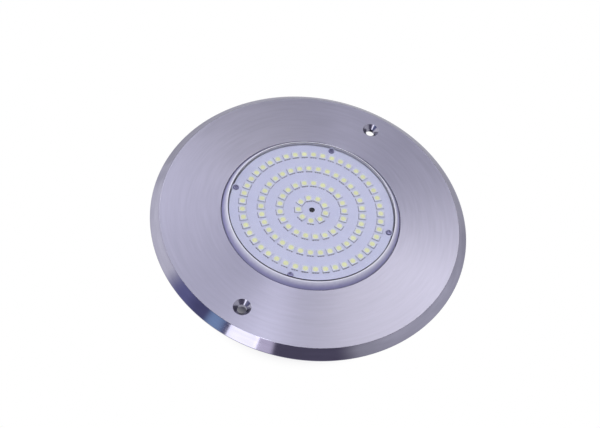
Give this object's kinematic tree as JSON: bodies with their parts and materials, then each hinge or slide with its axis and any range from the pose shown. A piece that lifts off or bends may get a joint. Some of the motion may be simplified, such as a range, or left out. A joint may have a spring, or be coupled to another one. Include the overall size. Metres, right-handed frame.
{
  "type": "underwater pool light",
  "caption": "Round wall-mounted underwater pool light: bevelled steel face ring, low clear lens over a round LED board, sealed rear housing and a cable gland.",
  "frame": {"origin": "middle of the face ring's back, where it lies against the wall", "axes": "+Z out of the wall and through the lens, +Y towards one of the two fixing holes"},
  "size_m": [0.23, 0.23, 0.0683],
  "materials": {
    "stainless_face": "stainless steel plate, turned and brushed in circles, bevel polished",
    "white_silicone": "pale silicone sheet",
    "clear_lens": "clear moulded polycarbonate, polished",
    "black_rubber": "black nitrile rubber",
    "black_housing": "black moulded ABS, fine texture",
    "steel_fasteners": "plain stainless steel screws and washers",
    "white_solder_mask": "white solder mask on an aluminium-core board",
    "led_package": "white LED package with a pale yellow phosphor window",
    "thermal_silicone": "filled silicone thermal pad",
    "aluminium_spreader": "turned aluminium",
    "lead_insulation": "black insulated wire",
    "green_laminate": "green solder mask on glass laminate",
    "green_terminal": "moulded terminal block",
    "black_epoxy": "moulded black epoxy",
    "ferrite": "pressed ferrite",
    "copper_wire": "enamelled copper wire",
    "capacitor_sleeve": "shrunk plastic sleeve",
    "black_nylon": "moulded black nylon",
    "white_nylon": "turned white nylon"
  },
  "bodies": {
    "light": {"face_ring": "stainless_face", "front_gasket": "white_silicone", "front_lens": "clear_lens", "housing_seal": "black_rubber", "rear_housing": "black_housing", "clamp_screws": "steel_fasteners", "spring_washers": "steel_fasteners", "led_board": "white_solder_mask", "led_ring_1": "led_package", "led_ring_2": "led_package", "led_ring_3": "led_package", "led_ring_4": "led_package", "board_screws": "steel_fasteners", "thermal_pad": "thermal_silicone", "heat_spreader": "aluminium_spreader", "spreader_screws": "steel_fasteners", "led_leads": "lead_insulation", "driver_board": "green_laminate", "driver_screws": "steel_fasteners", "terminal_block": "green_terminal", "terminal_screws": "steel_fasteners", "bridge_rectifier": "black_epoxy", "inductor_core": "ferrite", "inductor_winding": "copper_wire", "filter_capacitors": "capacitor_sleeve", "driver_chip": "black_epoxy", "gland_body": "black_nylon", "gland_o_ring": "black_rubber", "gland_locknut": "black_nylon", "gland_seal": "black_rubber"},
    "thrust_ring": {"gland_thrust_ring": "white_nylon"},
    "nut": {"gland_nut": "black_nylon"}
  },
  "joints": [
    {"name": "thrust_ring_slide", "type": "slide", "parent": "light", "child": "thrust_ring", "axis": [0, 0, -1], "range_m": [0, 0.003]},
    {"name": "gland_nut_turn", "type": "hinge", "parent": "thrust_ring", "child": "nut", "pos_m": [0, 0, -0.05], "axis": [0, 0, -1], "range_deg": [0, 720]}
  ],
  "couplings": [
    {"joint": "thrust_ring_slide", "follows": "gland_nut_turn", "m_per_rad": 0.00023873}
  ]
}
